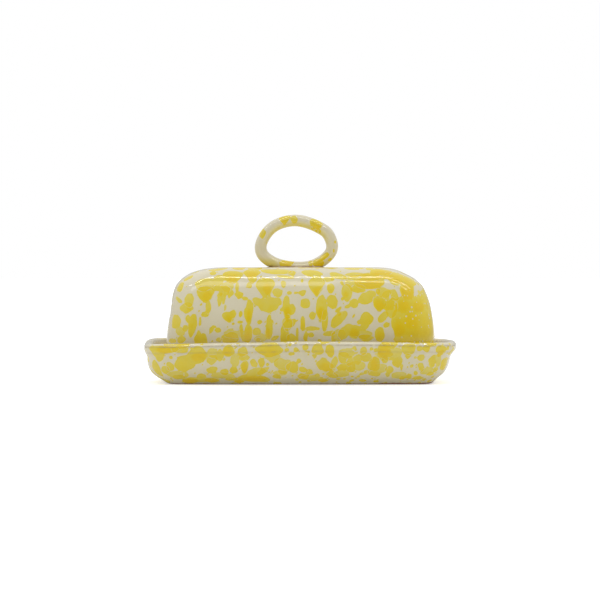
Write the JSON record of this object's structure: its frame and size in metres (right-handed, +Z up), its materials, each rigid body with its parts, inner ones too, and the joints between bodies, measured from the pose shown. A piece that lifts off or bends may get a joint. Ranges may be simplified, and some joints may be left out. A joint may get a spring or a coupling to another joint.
{
  "type": "butter dish",
  "caption": "Covered butter dish: a shallow oblong tray and a deep loaf-shaped lid that lifts off by a ring handle, in yellow-splashed cream glaze.",
  "frame": {"origin": "middle of the tray's foot, on the surface the dish stands on", "axes": "+X along the dish's length, +Y across it, +Z up through the lid and its ring"},
  "size_m": [0.224, 0.124, 0.1203],
  "materials": {
    "splatter_glaze": "glossy cream tin glaze over terracotta, splashed and run with translucent yellow glaze",
    "clay_slip": "terracotta slip seen brown through thin cream glaze"
  },
  "bodies": {
    "tray": {"tray": "splatter_glaze"},
    "lid": {"lid": "splatter_glaze", "ring_handle": "splatter_glaze", "luting_slip": "clay_slip"}
  },
  "joints": [
    {"name": "lid_lift", "type": "slide", "parent": "tray", "child": "lid", "axis": [0, 0, 1], "range_m": [0, 0.12]}
  ]
}
